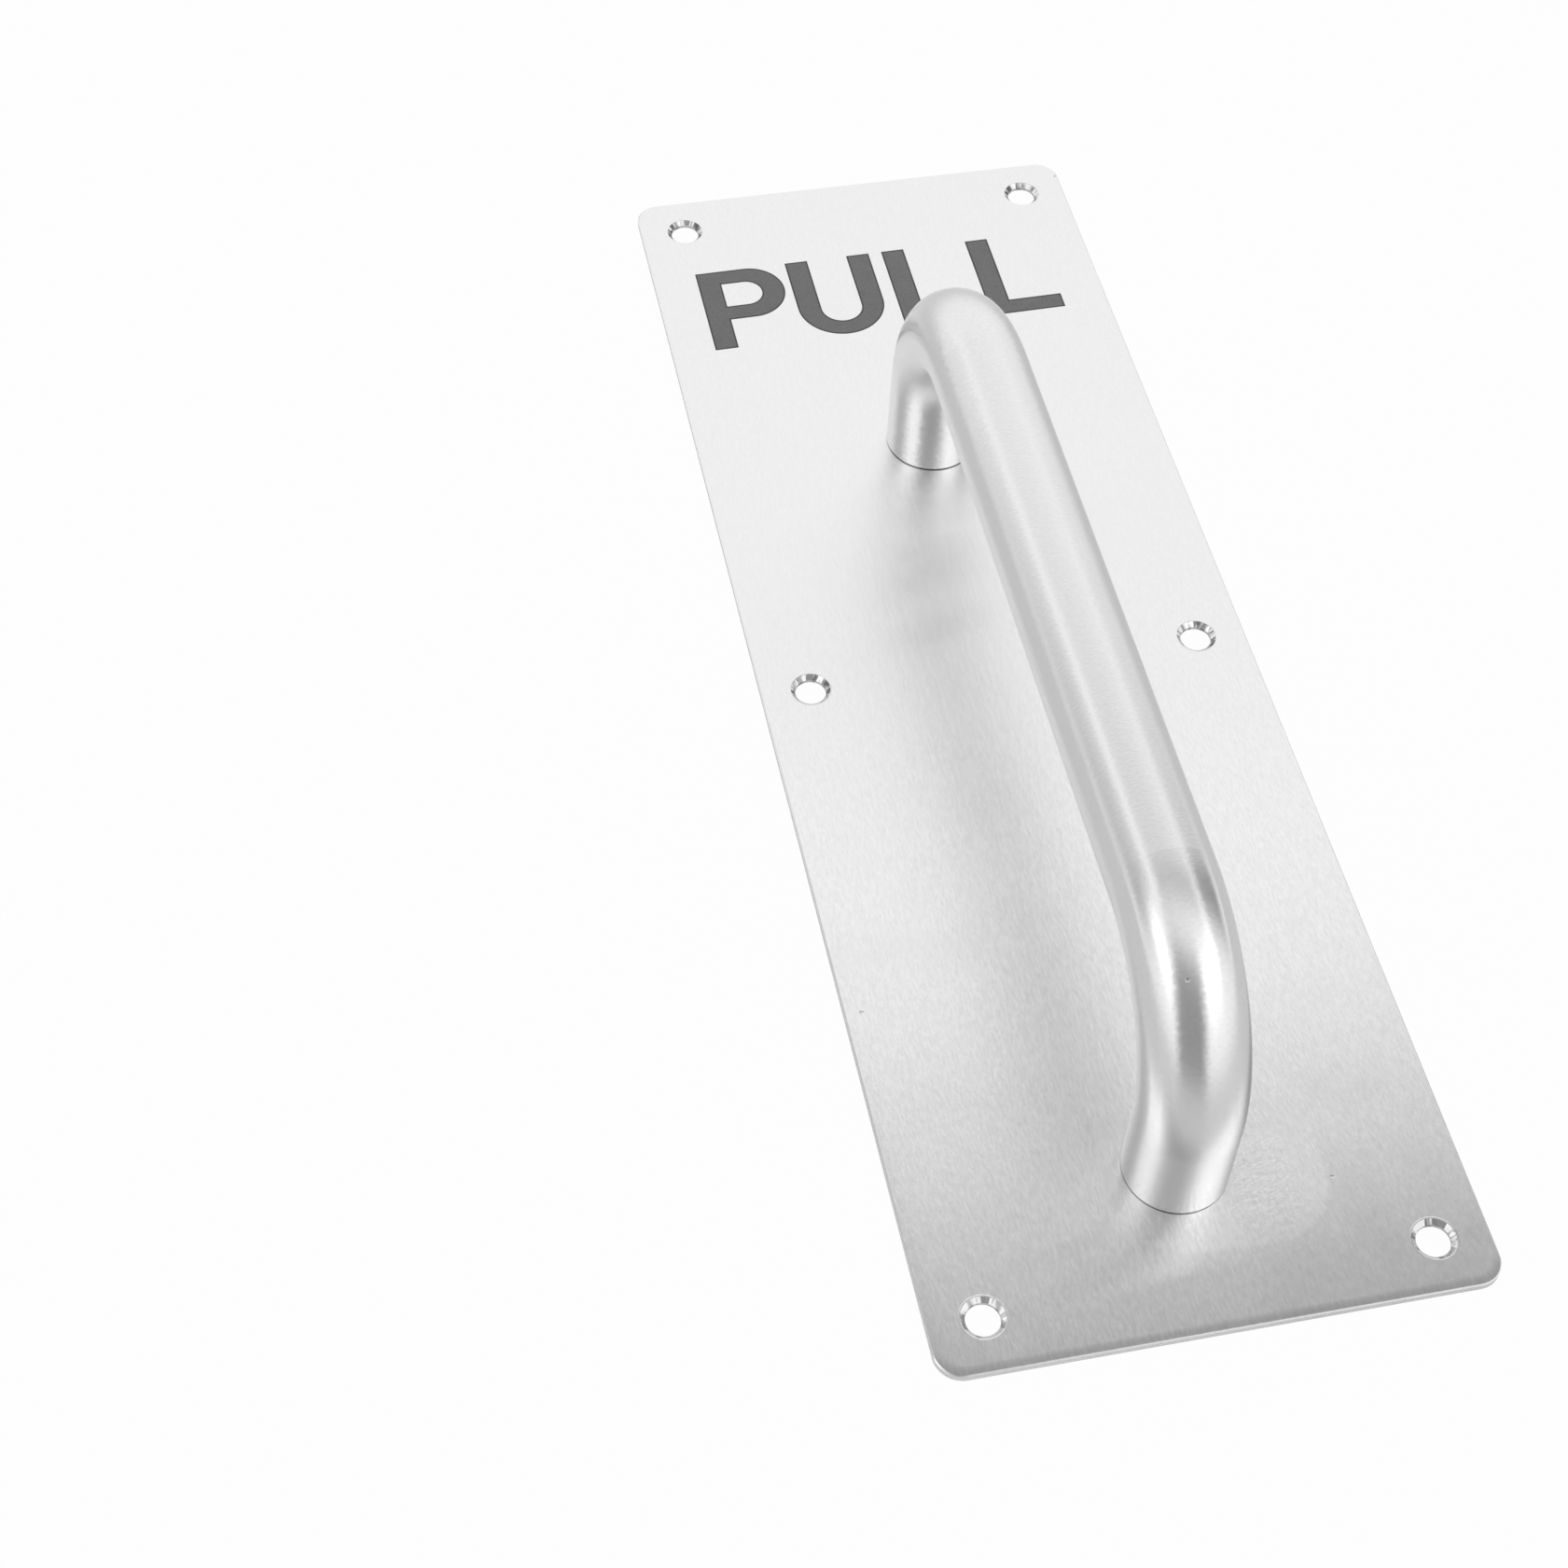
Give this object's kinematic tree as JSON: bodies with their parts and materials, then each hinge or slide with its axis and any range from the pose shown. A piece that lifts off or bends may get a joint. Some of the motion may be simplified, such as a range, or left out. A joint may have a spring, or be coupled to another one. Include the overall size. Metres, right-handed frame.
{
  "type": "door pull handle",
  "caption": "Bent tube pull handle fixed from behind to a long rectangular screw-on door plate.",
  "frame": {"origin": "centre of the plate's back face, which lies against the door", "axes": "+Z out of the door through the handle, +Y along the plate towards its lettered end, +X across the plate to the right"},
  "size_m": [0.1, 0.3, 0.0565],
  "materials": {
    "plate": "satin, fine grain along its length",
    "handle": "satin",
    "boss": "turned",
    "screw": "bright, plain",
    "legend": "matt dark grey filling"
  },
  "bodies": {
    "root": {"plate": "plate", "handle_tube": "handle", "lower_boss": "boss", "upper_boss": "boss", "lower_handle_screw": "screw", "upper_handle_screw": "screw"}
  },
  "joints": []
}
